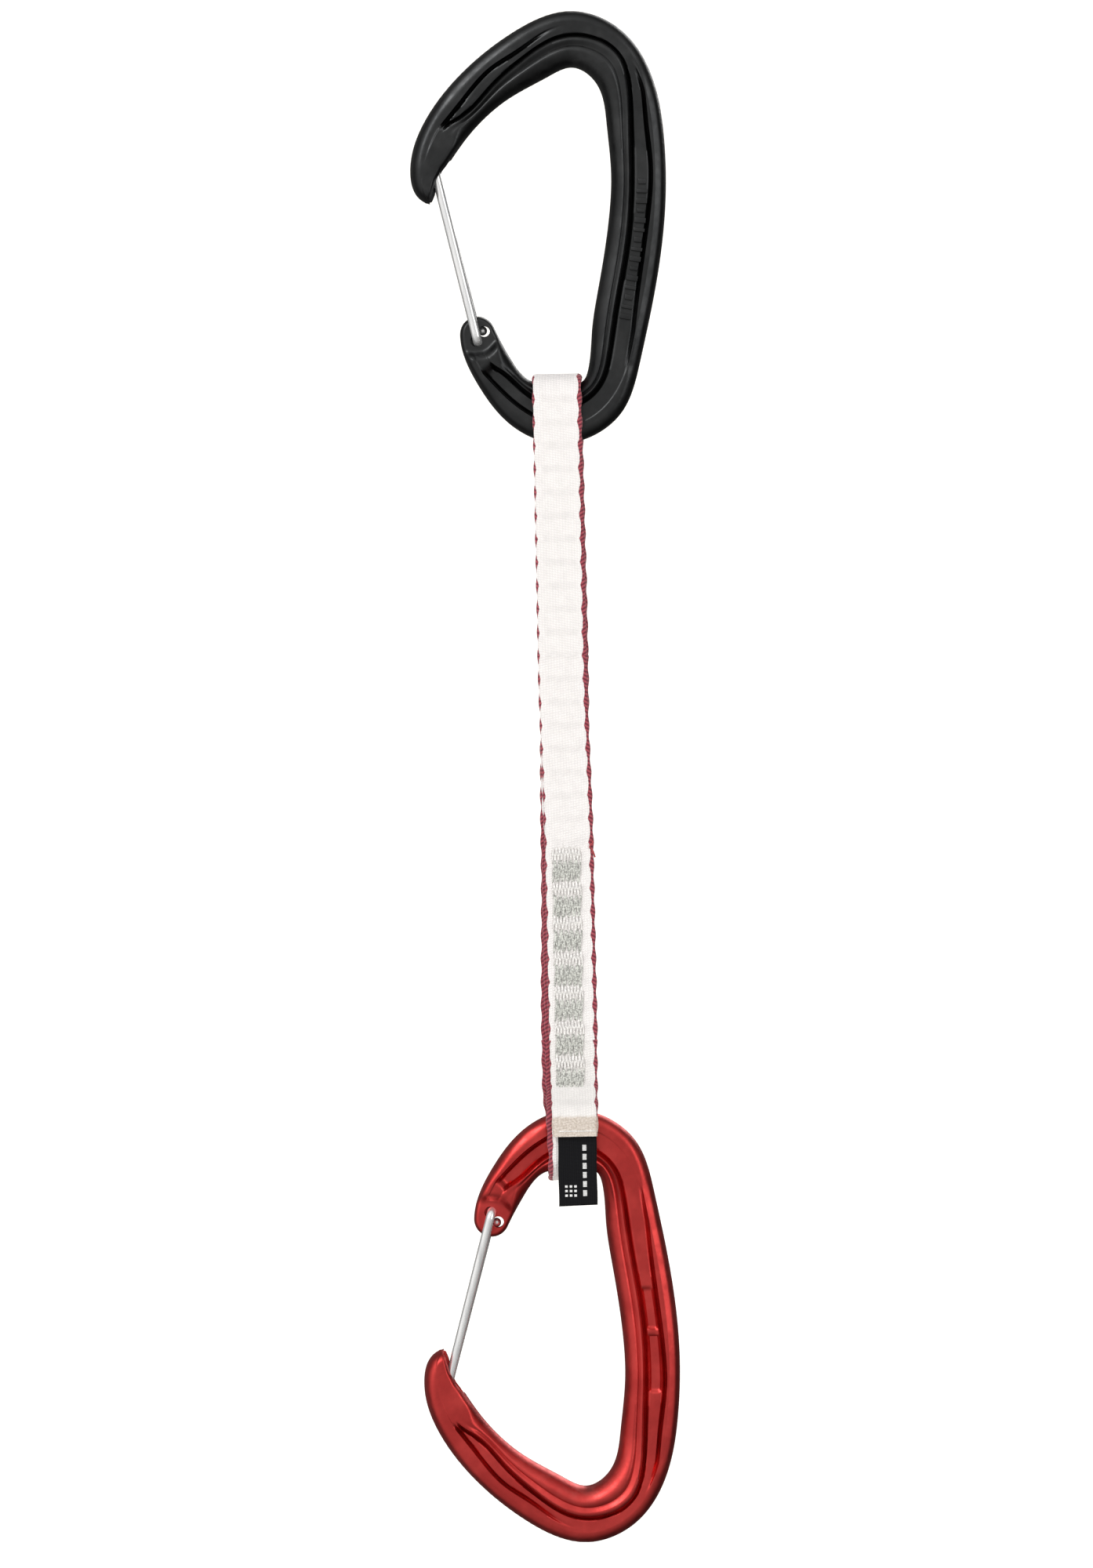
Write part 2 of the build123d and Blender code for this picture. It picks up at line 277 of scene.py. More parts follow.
def softened_values(values, reach=5):
    """A running average that takes the end values to go on past both ends."""
    kernel = np.hanning(2 * reach + 3)[1:-1]
    return np.convolve(np.pad(values, reach, mode="edge"), kernel / kernel.sum(), mode="valid")


def wall_share(line, ring_out, ring_in):
    """Where each ring crosses the line, as a share of its width; past the line's ends, the end's share."""
    first, last = np.subtract(line[1], line[0]), np.subtract(line[-1], line[-2])
    curve = smooth_curve(line, first / np.linalg.norm(first), last / np.linalg.norm(last))
    found = np.full(len(ring_out), np.nan)
    for i, (start, end) in enumerate(zip(ring_out, ring_in)):
        run = end - start
        away = (curve - start) @ np.array([-run[1], run[0]])
        part = (curve - start) @ run / max(float(run @ run), 1e-9)
        hits = [k for k in np.nonzero(away[:-1] * away[1:] <= 0)[0] if 0.05 < part[k] < 0.95]
        if hits:
            found[i] = part[hits[0]]
    known = np.nonzero(~np.isnan(found))[0]
    return softened_values(np.interp(np.arange(len(found)), known, found[known]))


def shares_across(width, wall_out, wall_in, wall):
    """Where the vertices of a ring lie, from the outside, 0, to the inside, 1."""
    rim = (1 - np.cos(np.linspace(0, math.pi / 2, 8))) * min(2.3 / width, 0.19)
    flange = np.linspace(rim[-1], wall_out, 5)[1:]
    down = wall_out + wall * np.linspace(0, 1, 6)[1:]
    floor = np.linspace(0, math.pi, 15)[1:]
    floor = wall_out + wall + (wall_in - wall_out - 2 * wall) * (0.5 - 0.5 * np.cos(floor))
    up = wall_in - wall + wall * np.linspace(0, 1, 6)[1:]
    near = wall_in + (1 - wall_in) * np.linspace(0, 0.57, 9)[1:]
    last = 0.57 + 0.43 * np.sin(np.linspace(0, math.pi / 2, 10))[1:]
    return np.concatenate([rim, flange, down, floor, up, near, wall_in + (1 - wall_in) * last])


def fall(distance, radius):
    """Share of the full height left at this distance from a rounded edge."""
    short = 1 - np.clip(distance / radius, 0, 1)
    return np.sqrt(np.clip(1 - short * short, 0, 1))


def new_object(name, points, faces, uv=None):
    """A smooth-shaded mesh object; uv has one pair for each point."""
    mesh = bpy.data.meshes.new(name)
    mesh.from_pydata([tuple(p) for p in points], [], [tuple(f) for f in faces])
    if uv is not None:
        layer = mesh.uv_layers.new(name="UVMap")
        index = np.zeros(len(mesh.loops), np.int32)
        mesh.loops.foreach_get("vertex_index", index)
        layer.data.foreach_set("uv", np.asarray(uv, np.float32)[index].ravel())
    mesh.shade_smooth()
    obj = bpy.data.objects.new(name, mesh)
    bpy.context.scene.collection.objects.link(obj)
    return obj


def tidy_mesh(obj, merge, sharp=50):
    """Joins points closer than merge, turns the faces outwards and keeps edges over sharp degrees crisp."""
    work = bmesh.new()
    work.from_mesh(obj.data)
    bmesh.ops.remove_doubles(work, verts=work.verts, dist=merge)
    bmesh.ops.recalc_face_normals(work, faces=work.faces)
    work.to_mesh(obj.data)
    work.free()
    obj.data.shade_smooth()
    obj.data.set_sharp_from_angle(angle=math.radians(sharp))


def prism(name, outline, half, bevel=0.0):
    """A prism of an (x, z) outline about the mid-plane, millimetres, its edges bevelled."""
    work = bmesh.new()
    front = [work.verts.new((x, -half, z)) for x, z in outline]
    back = [work.verts.new((x, half, z)) for x, z in outline]
    work.faces.new(front)
    work.faces.new(back[::-1])
    for i in range(len(outline)):
        j = (i + 1) % len(outline)
        work.faces.new((front[i], back[i], back[j], front[j]))
    bmesh.ops.recalc_face_normals(work, faces=work.faces)
    if bevel:
        bmesh.ops.bevel(work, geom=work.edges[:], offset=bevel, segments=3, affect="EDGES", profile=0.6)
    points = [v.co[:] for v in work.verts]
    work.verts.index_update()
    faces = [[v.index for v in f.verts] for f in work.faces]
    work.free()
    return new_object(name, points, faces)


def cut(obj, *cutters):
    """obj less the cutters, which are removed."""
    for cutter in cutters:
        change = obj.modifiers.new("cut", "BOOLEAN")
        change.object = cutter
        change.operation = "DIFFERENCE"
        change.solver = "EXACT"
    graph = bpy.context.evaluated_depsgraph_get()
    made = bpy.data.meshes.new_from_object(obj.evaluated_get(graph))
    obj.modifiers.clear()
    obj.data = made
    for cutter in cutters:
        bpy.data.objects.remove(cutter)


def wear_of(distance_in, station):
    """How much the finish is rubbed: most on the bearing surfaces of both bays."""
    bays = np.exp(-((station - 3.1) / 0.55) ** 2) + 0.8 * np.exp(-((station - 7.6) / 0.6) ** 2)
    return np.clip(bays * np.exp(-distance_in / 1.6), 0, 1)


def outer_flange(to_out, station):
    """Height of the outside flange, with a fine line pressed along its rim."""
    rim = 1 - np.abs(to_out - 1.75) / 0.75
    return eased_table(OUTER_LEVEL, station) - 0.28 * ease(rim) * eased_table(RIM_LINE, station)


def inner_flange(inner, station):
    """Height of the inside flange, with two soft crests and a shallow valley; inner goes from 0 to 1."""
    wave = 0.5 * (1 - np.cos(2 * math.pi * np.clip((inner - 0.1) / 0.32, 0, 1)))
    crests = wave + 0.5 * (1 - ease(inner / 0.09))
    return eased_table(INNER_LEVEL, station) - 0.5 * eased_table(CREST, station) * crests


def web(across, span, station):
    """Height of the web, with a crease along both its edges; across goes from 0 to 1 over its span."""
    crease = np.minimum(CREASE_WIDTH, span / 2)
    outer = eased_table(OUTER_CREASE, station) * (1 - ease(across * span / crease))
    inner = eased_table(INNER_CREASE, station) * (1 - ease((1 - across) * span / crease))
    return eased_table(WEB_LEVEL, station) - outer - inner


def panel_recess(z, across, station):
    """Depth of the plain recess in the spine's web, which leaves one bar across it."""
    run = ease((PANEL_TOP - z) / 0.8) * ease((z - PANEL_FOOT) / 0.8) * (station > 4) * (station < 6)
    side = ease((across - 0.2) / 0.1) * ease((0.8 - across) / 0.1)
    bar = ease((0.9 - np.abs(z - PANEL_BAR)) / 0.35)
    return PANEL_DEPTH * run * side * (1 - bar)


def thinned_at_tab(height, flat, from_edge):
    """The heights brought down to the hinge tab's, behind a V-shaped ramp across the arm."""
    dx, dz = flat[:, :, 0] - TAB[0], flat[:, :, 1] - TAB[1]
    along_arm = ARM[0] * dx + ARM[1] * dz
    across_arm = -ARM[1] * dx + ARM[0] * dz
    ramp = ease((along_arm - 4.3 + 0.5 * np.sqrt(across_arm ** 2 + 1.5)) / 2.4)
    thin = TAB_HALF * fall(from_edge, 0.9)
    from_tab = np.linalg.norm(flat - np.array(TAB), axis=2)
    return np.where(from_tab < TAB_REACH, np.minimum(height, thin + (height - thin) * ramp), height)


def two_faced_mesh(name, flat, height, rubbed):
    """The front face and its mirror image behind it, which meet along both edges, where the height is 0."""
    n, m = height.shape
    front = np.stack([flat[:, :, 0], -height, flat[:, :, 1]], 2).reshape(-1, 3)
    back = np.stack([flat[:, :, 0], height, flat[:, :, 1]], 2).reshape(-1, 3)
    faces = []
    for i in range(n - 1):
        for j in range(m - 1):
            a, b, c, d = i * m + j, (i + 1) * m + j, (i + 1) * m + j + 1, i * m + j + 1
            faces.append((a, b, c, d))
            faces.append((a + n * m, d + n * m, c + n * m, b + n * m))
    obj = new_object(name, np.concatenate([front, back]), faces)
    layer = obj.data.attributes.new("rubbed", "FLOAT", "POINT")
    layer.data.foreach_set("value", np.concatenate([rubbed.ravel(), rubbed.ravel()]).astype(np.float32))
    tidy_mesh(obj, 0.002)
    return obj


def hood_slot():
    """Cutter for the slot under the hood that takes the gate's nose loop."""
    outline = [(-33.0, -20.4), (-31.6, -20.0), (-24.0, -20.0), (-24.0, -31.0), (-31.9, -31.0)]
    return prism("slot_cutter", outline, 3.2, 0.4)


def wire_holes():
    """Cutters for the wire's two holes, placed where its ends are at half the gate's travel.

    The hole of the front end is blind: it doesn't reach the back of the tab."""
    cx, cz = (FRONT_END[0] + BACK_END[0]) / 2, (FRONT_END[1] + BACK_END[1]) / 2
    turn = math.radians(GATE_TRAVEL / 2)
    found = []
    for x, z in (FRONT_END, BACK_END):
        dx, dz = x - cx, z - cz
        middle = (cx + dx * math.cos(turn) + dz * math.sin(turn),
                  cz - dx * math.sin(turn) + dz * math.cos(turn))
        found.append(prism("hole_cutter", arc_about(middle, HOLE_RADIUS, 0, 352.5, 48), 6.0))
    found[0].data.transform(Matrix.Translation((0, -4.7, 0)))
    return found


def hood_hook():
    """The catch inside the hood that the gate's nose loop closes round."""
    outline = [(-35.0, -24.0), (-30.8, -24.0), (-30.3, -24.6), (-30.9, -27.6), (-31.6, -29.2),
               (-33.0, -29.5), (-34.8, -27.4)]
    return prism("hook", outline, 0.95, 0.3)


def forged_body(name, panel):
    """The forged frame with its grooves, crests, flared bay, tab, hood slot, hook and wire holes."""
    outside, inside, ring_out, ring_in, station = rings()
    width = np.maximum(np.linalg.norm(ring_out - ring_in, axis=1), 0.02)
    wall_out = np.clip(wall_share(OUTER_WALL, ring_out, ring_in), 0.21, 0.6)
    wall_in = np.clip(wall_share(INNER_WALL, ring_out, ring_in), wall_out + 0.1, 0.8)
    wall = np.minimum(np.clip(0.42 / width, 0.03, 0.05), (wall_in - wall_out) / 2 - 0.012)
    shares = np.stack([shares_across(w, a, b, d) for w, a, b, d in zip(width, wall_out, wall_in, wall)])
    flat = ring_out[:, None, :] + (ring_in - ring_out)[:, None, :] * shares[:, :, None]
    points = flat.reshape(-1, 2)
    to_out = distance_to(outside, points).reshape(shares.shape)
    to_in = distance_to(inside, points).reshape(shares.shape)
    st = station[:, None] + 0 * shares
    wa, wb, wd = (q[:, None] + 0 * shares for q in (wall_out, wall_in, wall))
    across = np.clip((shares - wa - wd) / np.maximum(wb - wa - 2 * wd, 0.01), 0, 1)
    floor = web(across, np.maximum((wb - wa - 2 * wd) * width[:, None], 0.05), st)
    if panel:
        floor = floor - panel_recess(flat[:, :, 1], across, st)
    flange = outer_flange(to_out, st)
    full = flange + (floor - flange) * ease((shares - wa) / wd)
    bearing = inner_flange(np.clip((shares - wb) / (1 - wb), 0, 1), st)
    full = full + (bearing - full) * ease((shares - (wb - wd)) / wd)
    height = full * fall(to_out, eased_table(OUTER_ROUND, st)) * fall(to_in, eased_table(INNER_ROUND, st))
    height = thinned_at_tab(height, flat, np.minimum(to_out, to_in))
    height[:, 0] = 0.0
    height[:, -1] = 0.0
    obj = two_faced_mesh(name, flat, height, wear_of(to_in, st))
    cut(obj, hood_slot(), *wire_holes())
    join_into(obj, hood_hook())
    return obj, (ring_out, ring_in, station)


def join_into(obj, *others):
    """The other meshes become part of obj's mesh."""
    work = bmesh.new()
    work.from_mesh(obj.data)
    for other in others:
        work.from_mesh(other.data)
        bpy.data.objects.remove(other)
    work.to_mesh(obj.data)
    work.free()
    obj.data.shade_smooth()
    obj.data.set_sharp_from_angle(angle=math.radians(42))


def place_upper(obj):
    obj.data.transform(Matrix.Scale(MM, 4))


def place_lower(obj):
    """Turned over top to bottom, tilted, and moved to the lower end of the sling."""
    flip = Matrix.Diagonal((1, 1, -1, 1))
    tilt = Matrix.Rotation(LOWER_TILT, 4, "Y")
    move = Matrix.Translation((LOWER_ORIGIN[0], 0, LOWER_ORIGIN[1]))
    obj.data.transform(Matrix.Scale(MM, 4) @ move @ tilt @ flip)
    obj.data.flip_normals()


def bent_line(corners, radii, step=0.35):
    """Straight runs joined by arcs of the given radii, as closely spaced points in 3-D."""
    c = [np.array(p, float) for p in corners]
    found = [c[0]]
    for i in range(1, len(c) - 1):
        before = (c[i - 1] - c[i]) / np.linalg.norm(c[i - 1] - c[i])
        after = (c[i + 1] - c[i]) / np.linalg.norm(c[i + 1] - c[i])
        half = math.acos(max(-1.0, min(1.0, float(before @ after)))) / 2
        back = radii[i - 1] / math.tan(half)
        bisector = (before + after) / np.linalg.norm(before + after)
        centre = c[i] + bisector * radii[i - 1] / math.sin(half)
        start, end = c[i] + before * back - centre, c[i] + after * back - centre
        turn = math.pi - 2 * half
        for k in range(13):
            part = k / 12
            swing = start * math.sin((1 - part) * turn) + end * math.sin(part * turn)
            found.append(centre + swing / math.sin(turn))
    found.append(c[-1])
    line = np.array(found)
    length = np.linalg.norm(np.diff(line, axis=0), axis=1).sum()
    return evenly(line, max(4, int(length / step)))


def tube_data(line, radius, sides=14, dome=True):
    """Points and faces of a round tube along a polyline, with domed ends."""
    tangent = np.gradient(line, axis=0)
    tangent /= np.linalg.norm(tangent, axis=1)[:, None]
    normal = np.cross(tangent[0], (0.3, 0.9, 0.2))
    normal /= np.linalg.norm(normal)
    rows = []
    count = len(line)
    for i in range(count):
        normal = normal - tangent[i] * float(normal @ tangent[i])
        normal /= np.linalg.norm(normal)
        other = np.cross(tangent[i], normal)
        angle = np.linspace(0, 2 * math.pi, sides, endpoint=False)[:, None]
        rows.append((line[i], tangent[i], normal * np.cos(angle) + other * np.sin(angle)))
    steps = [(-0.95, 0.25), (-0.75, 0.66), (-0.4, 0.92)] if dome else []
    (start, ahead, first_ring), (end, behind, last_ring) = rows[0], rows[-1]
    loops = [start + ahead * radius * 0.5 * b + first_ring * radius * c for b, c in steps]
    loops += [place + ring * radius for place, _, ring in rows]
    loops += [end - behind * radius * 0.5 * b + last_ring * radius * c for b, c in steps[::-1]]
    points = np.concatenate(loops)
    faces = []
    for i in range(len(loops) - 1):
        for k in range(sides):
            j = (k + 1) % sides
            faces.append((i * sides + k, i * sides + j, (i + 1) * sides + j, (i + 1) * sides + k))
    faces.append(tuple(range(sides))[::-1])
    last = (len(loops) - 1) * sides
    faces.append(tuple(last + k for k in range(sides)))
    return points, faces


def tubes(name, lines, radius, sides=14, dome=True):
    """One mesh of several tubes, in metres, from lines in millimetres."""
    points, faces, base = [], [], 0
    for line in lines:
        p, f = tube_data(np.array(line, float), radius, sides, dome)
        points.append(p)
        faces += [tuple(base + k for k in face) for face in f]
        base += len(p)
    return new_object(name, np.concatenate(points) * MM, faces)


def gate_wire(name):
    """One bent wire: a leg, the loop at the nose, the other leg, and both ends turned into the tab."""
    front, back = FRONT_END, BACK_END
    corners = [(front[0], -0.5, front[1]), (front[0], -3.85, front[1]), (-30.5, -2.1, -23.8),
               (-31.0, -2.1, -21.6), (-31.0, 2.1, -21.6), (-30.5, 2.1, -23.8), (-22.75, 3.75, -55.9),
               (back[0], 3.85, back[1]),
               (back[0], 0.5, back[1])]
    line = bent_line(corners, (1.7, 2.0, 1.2, 1.2, 2.0, 2.0, 1.6), 0.3)
    points, faces = tube_data(line, WIRE_RADIUS, 24)
    return new_object(name, points, faces)


def spine_bars(body_rings):
    """Plain raised bars on the web of the upper spine."""
    ring_out, ring_in, station = body_rings
    centre = ring_out + (ring_in - ring_out) * 0.44
    picks = [i for i in range(len(station)) if 4.4 < station[i] < 6 and BARS_FOOT < centre[i][1] < BARS_TOP]
    start, end = picks[0], picks[-1]
    blocks = []
    for k in range(BARS):
        i = int(round(start + (end - start) * k / (BARS - 1)))
        tangent = centre[i + 2] - centre[i - 2]
        tangent /= np.linalg.norm(tangent)
        across = np.array([tangent[1], -tangent[0]])
        long_half = 1.25 if k % 3 else 0.85
        thick = 0.42 if k % 2 else 0.6
        corners = [centre[i] + across * sx * long_half + tangent * sz * thick
                   for sx, sz in ((-1, -1), (1, -1), (1, 1), (-1, 1))]
        blocks.append(prism("bar", corners, 4.05, 0.14))
    first = blocks[0]
    join_into(first, *blocks[1:])
    first.name = "spine_bars"
    return first


def tape_path(corners, radii):
    """The tape's centreline in its (y, z) plane as 3-D points with x 0."""
    return bent_line([(0, y, z) for y, z in corners], radii, 0.4)


def tape_strip(name, line, centre, start_v, width=TAPE_WIDTH, pinch=None):
    """A length of flat woven tape, and how long it is.

    centre and pinch are tables, over the share of the length, of x and of the share of the width; start_v
    keeps the weave in step with the length before."""
    step = np.linalg.norm(np.diff(line, axis=0), axis=1)
    at = np.concatenate([[0.0], np.cumsum(step)])
    share = at / at[-1]
    middle = eased_table(centre, share)
    tangent = np.gradient(line, axis=0)
    tangent /= np.linalg.norm(tangent, axis=1)[:, None]
    normal = np.stack([0 * share, tangent[:, 2], -tangent[:, 1]], 1)
    v = start_v + at
    half = width / 2 + SCALLOP_WAVE * np.cos(2 * math.pi * v / SCALLOP)
    if pinch is not None:
        half = half * eased_table(pinch, share)
    edge = 1 - np.cos(np.linspace(0, math.pi / 2, 6))
    spots = np.concatenate([-1 + 0.14 * edge, np.linspace(-0.8, 0.8, 13), (1 - 0.14 * edge)[::-1]])
    rise = fall((1 - np.abs(spots)) / 0.14, 1.0)
    belly = 0.93 + 0.07 * ease((np.abs(spots) - 0.6) / 0.25)
    lift = TAPE_THICK / 2 * rise * belly
    ring_x = np.concatenate([spots, spots[-2:0:-1]])
    ring_n = np.concatenate([lift, -lift[-2:0:-1]])
    ripple = 1 + 0.05 * np.cos(2 * math.pi * v / (SCALLOP / 6))
    points, uv = [], []
    for i in range(len(line)):
        x = middle[i] + half[i] * ring_x
        n = ring_n * ripple[i]
        points.append(np.stack([x, line[i, 1] + normal[i, 1] * n, line[i, 2] + normal[i, 2] * n], 1))
        uv.append(np.stack([half[i] * ring_x, 0 * ring_x + v[i]], 1))
    sides = len(ring_x)
    faces = []
    for i in range(len(line) - 1):
        for k in range(sides):
            j = (k + 1) % sides
            faces.append((i * sides + k, (i + 1) * sides + k, (i + 1) * sides + j, i * sides + j))
    faces.append(tuple(range(sides)))
    last = (len(line) - 1) * sides
    faces.append(tuple(last + k for k in range(sides))[::-1])
    obj = new_object(name, np.concatenate(points) * MM, faces, np.concatenate(uv))
    tidy_mesh(obj, 1e-8, 70)
    return obj, float(at[-1])


# ---------------------------------------------------------------- materials


class Nodes:
    """A node tree with short names for the nodes that it is given."""

    def __init__(self, tree):
        self.tree = tree

    def node(self, kind, **settings):
        made = self.tree.nodes.new(kind)
        for key, value in settings.items():
            setattr(made, key, value)
        return made

    def link(self, source, target):
        self.tree.links.new(source, target)

    def give(self, socket, value):
        if hasattr(value, "is_output"):
            self.link(value, socket)
        else:
            socket.default_value = value

    def math(self, kind, first, second=None, third=None):
        made = self.node("ShaderNodeMath", operation=kind)
        for socket, value in zip(made.inputs, (first, second, third)):
            if value is not None:
                self.give(socket, value)
        return made.outputs[0]

    def humps(self, value):
        """The sine's size, so that each half wave is one hump."""
        return self.math("ABSOLUTE", self.math("SINE", value))

    def ramp(self, value, low, high, to_low=0.0, to_high=1.0):
        made = self.node("ShaderNodeMapRange", interpolation_type="SMOOTHSTEP")
        for socket, item in zip(made.inputs, (value, low, high, to_low, to_high)):
            self.give(socket, item)
        return made.outputs[0]

    def mix(self, share, first, second):
        made = self.node("ShaderNodeMix", data_type="RGBA")
        self.give(made.inputs["Factor"], share)
        self.give(made.inputs["A"], first if hasattr(first, "is_output") else (*first, 1))
        self.give(made.inputs["B"], second if hasattr(second, "is_output") else (*second, 1))
        return made.outputs["Result"]

    def noise(self, scale, detail=3.0, where=None, stretch=None):
        made = self.node("ShaderNodeTexNoise")
        made.inputs["Scale"].default_value = scale
        made.inputs["Detail"].default_value = detail
        place = where or self.node("ShaderNodeTexCoord").outputs["Object"]
        if stretch:
            mapping = self.node("ShaderNodeMapping")
            mapping.inputs["Scale"].default_value = stretch
            self.link(place, mapping.inputs["Vector"])
            place = mapping.outputs["Vector"]
        self.link(place, made.inputs["Vector"])
        return made.outputs["Fac"]


class Finish(Nodes):
    """A material with its Principled shader."""

    def __init__(self, name, color, roughness, metallic=0.0):
        self.material = bpy.data.materials.new(name)
        self.material.use_nodes = True
        super().__init__(self.material.node_tree)
        self.shader = self.tree.nodes["Principled BSDF"]
        self.shader.inputs["Base Color"].default_value = (*color, 1)
        self.shader.inputs["Roughness"].default_value = roughness
        self.shader.inputs["Metallic"].default_value = metallic

    def paint(self, value):
        self.link(value, self.shader.inputs["Base Color"])

    def roughen(self, value):
        self.link(value, self.shader.inputs["Roughness"])

    def bump(self, height, distance, strength=1.0):
        made = self.node("ShaderNodeBump")
        made.inputs["Distance"].default_value = distance
        made.inputs["Strength"].default_value = strength
        self.link(height, made.inputs["Height"])
        self.link(made.outputs["Normal"], self.shader.inputs["Normal"])


def anodised(name, deep, pale, rubbed, roughness):
    """Anodised, tumbled aluminium: faint cloudy tone, fine tumbling texture, rubbed bearing surfaces."""
    f = Finish(name, deep, roughness, 1.0)
    cloud = f.ramp(f.noise(140, 3), 0.35, 0.7)
    rub = f.node("ShaderNodeAttribute", attribute_name="rubbed").outputs["Fac"]
    patchy = f.math("MULTIPLY", rub, f.ramp(f.noise(420, 4), 0.42, 0.62))
    tone = f.mix(f.math("MULTIPLY", patchy, 0.35), f.mix(cloud, deep, pale), rubbed)
    f.paint(tone)
    grain = f.noise(1500, 4)
    sheen = f.ramp(f.noise(600, 3), 0.3, 0.75, roughness - 0.05, roughness + 0.07)
    f.roughen(sheen)
    relief = f.math("ADD", f.math("MULTIPLY", grain, 0.6), f.math("MULTIPLY", f.noise(260, 2), 0.4))
    f.bump(relief, 0.00007, 0.5)
    return f.material


def bright_wire():
    """Polished stainless wire, paler and greyer in streaks along its length, which also change its roughness
    and bump.
    """
    f = Finish("steel_wire_finish", (0.74, 0.75, 0.76), 0.2, 0.8)
    lines = f.noise(900, 3, None, (1.0, 1.0, 0.06))
    f.roughen(f.ramp(lines, 0.3, 0.7, 0.14, 0.3))
    f.paint(f.mix(f.ramp(lines, 0.4, 0.7), (0.96, 0.96, 0.96), (0.78, 0.79, 0.8)))
    f.bump(lines, 0.00002, 0.3)
    return f.material


def woven_tape(name, white, edging=0.82, lobes=0.42, wider_from=None, sealed_from=None):
    """White tape with a crimson yarn in each edge that the white wefts cover in scallops.

    edging is the crimson's greatest width and lobes how much of it the scallops hide. Past wider_from along
    the tape the edge has turned over and shows more crimson, and past sealed_from the tape is melted."""
    f = Finish(name, white, 0.85)
    f.shader.inputs["Sheen Weight"].default_value = 0.25
    f.shader.inputs["Sheen Roughness"].default_value = 0.5
    place = f.node("ShaderNodeUVMap", uv_map="UVMap").outputs["UV"]
    split = f.node("ShaderNodeSeparateXYZ")
    f.link(place, split.inputs[0])
    u, v = split.outputs["X"], split.outputs["Y"]
    wobble = f.math("MULTIPLY", f.math("SUBTRACT", f.noise(0.9, 2, place), 0.5), 0.7)
    lobe = f.humps(f.math("MULTIPLY", f.math("ADD", v, wobble), math.pi / SCALLOP))
    if wider_from is not None:
        turned = f.ramp(v, wider_from, wider_from + 16)
        lobes = f.math("MULTIPLY_ADD", turned, 0.2 - lobes, lobes)
        edging = f.math("MULTIPLY_ADD", turned, 1.7 - edging, edging)
    lean = f.math("MULTIPLY_ADD", f.math("SIGN", u), 0.28, edging)
    inset = f.math("SUBTRACT", lean, f.math("MULTIPLY", lobe, lobes))
    edge = f.math("SUBTRACT", TAPE_WIDTH / 2, f.math("ABSOLUTE", u))
    wavy_edge = f.math("ADD", edge, f.math("MULTIPLY", wobble, 0.5))
    red = f.ramp(f.math("SUBTRACT", inset, wavy_edge), -0.06, 0.08)
    warp = f.humps(f.math("MULTIPLY", u, math.pi / 0.62))
    weft = f.humps(f.math("MULTIPLY_ADD", v, math.pi / 0.55, f.math("MULTIPLY", u, 1.1)))
    weave = f.math("MULTIPLY", warp, weft)
    band = f.ramp(f.math("COSINE", f.math("MULTIPLY", v, 2 * math.pi / SCALLOP)), 0.2, 0.9)
    inside = f.ramp(edge, 1.5, 2.1)
    tone = f.math("MULTIPLY", f.math("MULTIPLY", band, inside), 0.35)
    shade = f.math("ADD", tone, f.math("MULTIPLY", f.ramp(f.noise(0.45, 4, place), 0.35, 0.75), 0.35))
    cloth = f.mix(shade, white, tuple(c * 0.86 for c in white))
    # painted shade: the white cloth is made darker in the gaps between the woven yarns, where the weave is
    # low
    cloth = f.mix(f.ramp(weave, 0.0, 0.35, 0.35, 0.0), cloth, tuple(c * 0.66 for c in white))
    strand = f.math("SINE", f.math("MULTIPLY_ADD", v, math.pi / 0.45, f.math("MULTIPLY", edge, 4.0)))
    # painted light and shade on the crimson yarn: lighter on the ridges of its twist and darker in its
    # grooves
    crimson = f.mix(f.ramp(strand, -0.8, 0.9), (0.17, 0.016, 0.035), (0.44, 0.075, 0.10))
    colour = f.mix(red, cloth, crimson)
    height = f.math("ADD", weave, f.math("MULTIPLY", strand, f.math("MULTIPLY", red, 0.4)))
    if sealed_from is not None:
        seal = f.ramp(f.math("ADD", v, wobble), sealed_from - 0.3, sealed_from + 0.5)
        beige = f.mix(f.ramp(f.noise(2.2, 4, place), 0.3, 0.7), (0.76, 0.67, 0.59), (0.52, 0.43, 0.35))
        colour = f.mix(f.math("MULTIPLY", seal, 0.85), colour, beige)
    f.paint(colour)
    f.bump(height, 0.00016, 0.8)
    return f.material


def sewing_thread(name, dark, light, roughness=0.6):
    """Twisted thread, with light and shade painted on its strands along its run."""
    f = Finish(name, light, roughness)
    f.shader.inputs["Sheen Weight"].default_value = 0.2
    # painted light and shade: the thread's colour goes from its dark tone in shaded spots to its light tone
    # in lit ones
    f.paint(f.mix(f.ramp(f.noise(2600, 3), 0.35, 0.65), dark, light))
    f.bump(f.noise(5200, 2, None, (1, 1, 0.35)), 0.00006, 0.6)
    return f.material


def label_cloth():
    """Black satin label with fine crosswise weave."""
    f = Finish("label_cloth_finish", (0.02, 0.02, 0.022), 0.6)
    place = f.node("ShaderNodeUVMap", uv_map="UVMap").outputs["UV"]
    split = f.node("ShaderNodeSeparateXYZ")
    f.link(place, split.inputs[0])
    rib = f.humps(f.math("MULTIPLY", split.outputs["Y"], math.pi / 0.22))
    cross = f.humps(f.math("MULTIPLY", split.outputs["X"], math.pi / 0.3))
    weave = f.math("MULTIPLY", rib, cross)
    # painted shade and light: the weave's hollows darker and its raised threads lighter
    f.paint(f.mix(weave, (0.004, 0.004, 0.005), (0.016, 0.016, 0.018)))
    f.shader.inputs["Specular IOR Level"].default_value = 0.05
    f.bump(weave, 0.00005, 0.7)
    return f.material


